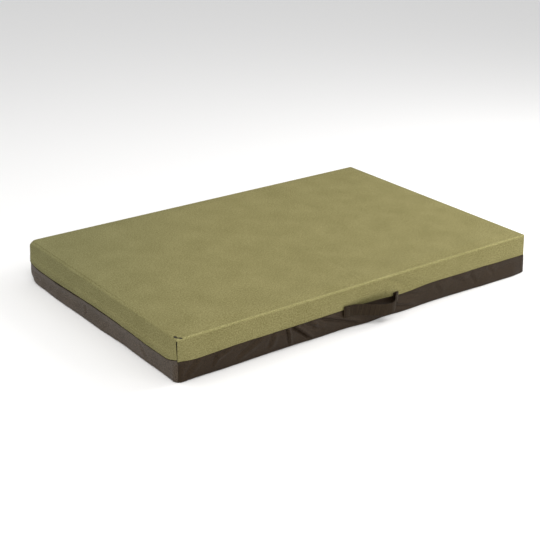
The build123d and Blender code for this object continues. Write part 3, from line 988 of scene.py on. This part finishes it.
def zip_slider():
    """Two waisted plates, a wedge between the coils, four flanges and a bent bridge."""
    half, nose, tail, thick = 10 * MM, 7.3 * MM, 6.2 * MM, 1.2 * MM
    inner_x, outer_x = SLIDER_HIGH.x, PIN_X + 1.2 * MM
    middle_x = outer_x + thick / 2
    waist = ((-half, tail * 0.75), (-half * 0.2, tail), (half * 0.6, nose), (half, nose * 0.6))
    outline = mirrored([(SLIDER_Y + y, away) for y, away in waist], 1.6 * MM)
    parts = [flat_metal([outline], thick, 0.35 * MM, x) for x in (inner_x - thick, outer_x)]
    parts.append(plate(
        SLIDER_Y + 3 * MM, SLIDER_Y + 8 * MM, ZIP_Z - 0.2 * MM, ZIP_Z + 0.2 * MM,
        0.1 * MM, inner_x - outer_x - thick, 0.02 * MM, middle_x,
    ))
    for edge in (ZIP_Z - 5.6 * MM, ZIP_Z + 5.6 * MM):
        parts.append(plate(
            SLIDER_Y - 7 * MM, SLIDER_Y + 7 * MM, edge - 0.5 * MM, edge + 0.5 * MM,
            0.3 * MM, 2.6 * MM, 0.15 * MM, middle_x,
        ))
    bridge_x, span = SLIDER_LOW.x + 0.55 * MM, 4.2 * MM
    leg = (
        (outer_x + 0.4 * MM, -span), (bridge_x + 1.0 * MM, -span),
        (bridge_x + 0.3 * MM, 0.35 * MM - span), (bridge_x, 1.2 * MM - span),
    )
    path = [(x, SLIDER_Y + y, 0) for x, y in leg] + [(x, SLIDER_Y - y, 0) for x, y in leg[::-1]]
    bar, faces = tube(path, 0.55 * MM, 8)
    bar[:, 2] = ZIP_Z + bar[:, 2] * 2.1
    parts.append((bar, faces))
    metal_piece("zip_slider_body", parts, "slider", "zip_slider")


def zip_pull():
    """A stamped tab with a window around the bridge and a thumb hole."""
    low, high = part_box("zip_pull")
    start, stop, half = low.y, high.y, (high.z - low.z) / 2
    edge = (
        (start, half * 0.9), (start + 9 * MM, half * 0.9), (start + 13 * MM, half * 0.72),
        (stop - 9 * MM, half), (stop, half),
    )
    holes = [
        box_outline(y_low, y_high, ZIP_Z - half_z, ZIP_Z + half_z, corner)
        for y_low, y_high, half_z, corner in (
            (start + 1.25 * MM, start + 7.0 * MM, 2.3 * MM, 0.6 * MM),
            (stop - 9 * MM, stop - 3.2 * MM, 1.7 * MM, 1.5 * MM),
        )
    ]
    tab = flat_metal([mirrored(edge, 0.9 * MM), *holes], high.x - low.x, 0.3 * MM, low.x)
    metal_piece("zip_pull_tab", [tab], "pull", "zip_pull")


def zip_stops():
    """Pressed metal stops: one across both coils at the open end, one on each at the closed end."""
    low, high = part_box("zip_stops")
    length, gap = 4 * MM, 0.5 * MM
    closed_y = high.y - length
    parts = [
        plate(y, y + length, z_low, z_high, 0.8 * MM, high.x - low.x, 0.4 * MM, low.x)
        for y, z_low, z_high in (
            (low.y, low.z, high.z), (closed_y, low.z, ZIP_Z - gap), (closed_y, ZIP_Z + gap, high.z),
        )
    ]
    metal_piece("zip_end_stops", parts, "mat", "zip_stops")


zip_tapes()
zip_coil("zip_coil_lower", -1, 0.0)
zip_coil("zip_coil_upper", 1, 0.5)
zip_slider()
zip_pull()
zip_stops()

# ---- handle
STRAP = 2.0 * MM  # thickness of the webbing
STRAP_WIDTH = LEFT_HIGH.z - LEFT_LOW.z
LEFT_Z = (LEFT_LOW.z + LEFT_HIGH.z) / 2
RIGHT_Z = (RIGHT_LOW.z + RIGHT_HIGH.z) / 2
INNER_Y = -HALF_W - STRAP / 2 - 0.4 * MM  # middle of the layer on the wall
OUTER_Y = INNER_Y - STRAP - 0.15 * MM  # middle of the layer on top of it
RIB = 1.6 * MM  # from one rib of the webbing to the next


def strap_route():
    """The webbing's middle line: folded end, loop, folded end, as points (x, y, z)."""
    turn = (INNER_Y - OUTER_Y) / 2
    between = (INNER_Y + OUTER_Y) / 2
    left, right = LEFT_LOW.x + turn, RIGHT_HIGH.x - turn
    route = [(LEFT_HIGH.x - 1 * MM, INNER_Y, LEFT_Z), (left + 8 * MM, INNER_Y, LEFT_Z)]
    for angle in np.radians(np.linspace(90, 270, 7)):
        route.append((left + turn * math.cos(angle), between + turn * math.sin(angle), LEFT_Z))
    # the loop: place along X, distance out of the wall and height, in millimetres
    for x, out, z in (
        (-95, 3.8, 66), (-84, 4, 66), (-62, 6, 64.5), (-40, 10, 61), (-15, 17, 56), (10, 25, 51.5),
        (35, 32, 48), (56, 36.2, 46.8), (74, 36.4, 47), (88, 31, 48.5), (98, 23, 52), (106, 15, 55.5),
        (113, 8.6, 58.6), (118, 5.2, 60.6),
    ):
        route.append((x * MM, -HALF_W - out * MM, z * MM))
    route.append((RIGHT_HIGH.x - 5 * MM, OUTER_Y, RIGHT_Z))
    for angle in np.radians(np.linspace(90, -90, 7)):
        route.append((right + turn * math.cos(angle), between - turn * math.sin(angle), RIGHT_Z))
    route.append((RIGHT_LOW.x - 7 * MM, INNER_Y, RIGHT_Z))
    return np.array(route)


def even_curve(knots, step):
    """A smooth curve through the knots, sampled at even steps."""
    knots = np.asarray(knots, float)
    travelled = np.append(0, np.cumsum(np.linalg.norm(np.diff(knots, axis=0), axis=1)))
    fine = np.linspace(0, travelled[-1], 6000)
    curve = stack(*(curve_through(stack(travelled, knots[:, k]), fine) for k in range(3)))
    length = np.append(0, np.cumsum(np.linalg.norm(np.diff(curve, axis=0), axis=1)))
    even = np.arange(0, length[-1], step)
    return stack(*(np.interp(even, length, curve[:, k]) for k in range(3))), even


def strap_sheet():
    """The webbing as one ribbed strip, with its width kept as upright as its run allows."""
    middle, travelled = even_curve(strap_route(), RIB / 4)
    tangent = unit(np.gradient(middle, axis=0))
    for _ in range(12):
        tangent[1:-1] = (tangent[:-2] + 2 * tangent[1:-1] + tangent[2:]) / 4
    tangent = unit(tangent)
    up = unit(np.array([0, 0, 1.0]) - tangent * tangent[:, 2:3])
    normal = np.cross(tangent, up)
    half, corner = STRAP_WIDTH / 2, STRAP / 2
    across = np.linspace(-half + corner, half - corner, 15)
    turn = np.radians(np.linspace(-90, 90, 5))[1:-1]
    # the strip's outline: place across, height above the middle line, share of the ribs
    side = [(a, corner, 1.0) for a in across]
    side += [(half - corner + corner * math.cos(t), -corner * math.sin(t), 0.3) for t in turn]
    section = np.array(side + [(-a, -height, ribs) for a, height, ribs in side])
    rib = 0.10 * MM * np.cos(2 * math.pi * travelled / RIB)
    lift = section[:, 1] + rib[:, None] * np.sign(section[:, 1]) * section[:, 2]
    points = middle[:, None] + section[:, :1] * up[:, None] + lift[..., None] * normal[:, None]
    uv = stack(0 * lift + travelled[:, None], 0 * lift + section[:, 0])
    faces = tube_faces(*lift.shape)
    piece = add_mesh("handle_strap", points.reshape(-1, 3), faces, WEBBING, uv.reshape(-1, 2))
    nodes = ("handle_loop", "handle_end_left", "handle_end_right")
    cloth(piece, None, "webbing", nodes, (STRAP_WIDTH, float(travelled[-1])))
    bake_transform(piece)


def stitch_row(places, direction, out, length, thread):
    """Points and faces of a row of stitches: short arcs of thread that dip at both ends."""
    direction, out = np.array(direction, float), np.array(out, float)
    t = np.linspace(-1, 1, 7)[:, None]
    arc = t * direction * length / 2 + (0.25 - 0.6 * t**4) * out * thread
    return [tube(np.array(place) + arc, thread / 2, 6) for place in places]


def handle_stitches():
    rows = []
    pitch, thread = 3.6 * MM, 0.7 * MM
    count = int((STRAP_WIDTH - 6 * MM) / pitch)
    for middle, *places in (
        (LEFT_Z, LEFT_LOW.x + 4 * MM, LEFT_HIGH.x - 4 * MM),
        (RIGHT_Z, RIGHT_HIGH.x - 4 * MM, RIGHT_HIGH.x - 2 * MM),
    ):
        heights = middle + (np.arange(count) - (count - 1) / 2) * pitch
        for x in places:
            line = [(x, OUTER_Y - STRAP / 2, z) for z in heights]
            rows += stitch_row(line, (0, 0, 1), (0, -1, 0), pitch * 0.8, thread)
    dress(add_mesh("handle_stitches", *joined(rows), THREAD), "mat", "thread", "handle_stitching")


def patch_sheet(node):
    """A square of canvas inside the cover, behind one end of the handle; it follows the wall."""
    low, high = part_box(node)
    x, z = np.meshgrid(np.linspace(low.x, high.x, 24), np.linspace(low.z, high.z, 24))
    wall = np.minimum(band_front_bump(x, z), lower_front_bump(x, z))
    grid = wall_points("front", x, z, wall - 2.6 * MM)
    piece = cloth_sheet(f"{node}_cloth", grid, stack(x, z), BLACK)
    cloth(piece, "mat", "black_canvas", (node,), (high.x - low.x, high.z - low.z))


strap_sheet()
handle_stitches()
patch_sheet("handle_patch_left")
patch_sheet("handle_patch_right")


def hem_stitches():
    """One row of stitches along the hem of the flap."""
    pitch, thread = 4.5 * MM, 0.6 * MM
    y = np.arange(-FLAP_HALF + 5 * MM, FLAP_HALF - 5 * MM, pitch)
    z = SEAM_Z + hem_wave(y) + HEM_STITCH
    places = shape(wall_points("left", y, z, zip_side_bump(y, z)))
    rows = stitch_row(places, (0, 1, 0), (-1, 0, 0), pitch * 0.75, thread)
    dress(add_mesh("flap_hem_stitches", *joined(rows), HEM_THREAD), "flap", "olive_canvas")


hem_stitches()

# ---- camera, light and floor
CAMERA_AT = Vector((-2.419, -3.199, 1.704))
FORWARD = Vector((0.5500, 0.7399, -0.3873)).normalized()
RIGHT = Vector((0.8044, -0.5940, 0.0077)).normalized()
LENS = 79.86


def set_camera():
    data = bpy.data.cameras.new("camera")
    data.lens, data.sensor_width = LENS, 36.0
    data.clip_end = 100
    camera = add_object("camera", data)
    right = (RIGHT - FORWARD * RIGHT.dot(FORWARD)).normalized()
    turn = Matrix((right, right.cross(FORWARD), -FORWARD)).transposed()
    camera.matrix_world = Matrix.Translation(CAMERA_AT) @ turn.to_4x4()
    bpy.context.scene.camera = camera


def area_light(name, place, size, power):
    data = bpy.data.lights.new(name, "AREA")
    data.shape, data.size, data.energy, data.color = "DISK", size, power, LIGHT_COLOR
    light = add_object(name, data)
    light.location = place
    light.rotation_euler = (-Vector(place)).to_track_quat("-Z", "Y").to_euler()


def set_stage():
    world = bpy.data.worlds.new("world")
    bpy.context.scene.world = world
    world.use_nodes = True
    color, strength = world.node_tree.nodes["Background"].inputs[:2]
    color.default_value, strength.default_value = (1, 1, 1, 1), WORLD_LIGHT
    material = shaded(new_tree("floor")[0], {"Base Color": (0.93, 0.93, 0.93), "Roughness": 0.9})
    size = 30.0
    corners = [(x * size, y * size, -0.3 * MM) for x, y in ((-1, -1), (1, -1), (1, 1), (-1, 1))]
    add_mesh("floor", corners, [(0, 1, 2, 3)], material)
    for name, place, size, power in LIGHTS:
        area_light(name, place, size, power)
    bpy.context.scene.view_settings.view_transform = "Standard"
    bpy.context.scene.view_settings.look = "None"


WORLD_LIGHT = 0.67
LIGHT_COLOR = (1.0, 0.985, 0.965)
# Softboxes all around: name, place in metres, size across, power in watts; each points at the mat
LIGHTS = (
    ("high_back_left", (-1.73, 1.00, 3.46), 2.2, 21.5),
    ("high_left", (-1.73, -1.00, 3.46), 2.2, 27.6),
    ("high_front", (-1.00, -1.73, 3.46), 2.2, 17.9),
    ("low_front_left", (-1.40, -3.60, 0.83), 2.2, 11.0),
    ("low_front_right", (1.96, -3.39, 0.83), 2.2, 26.0),
    ("right", (3.28, 0.0, 2.29), 2.2, 8.4),
    ("near_right", (2.00, -0.80, 1.50), 1.2, 28.0),
)
set_camera()
set_stage()
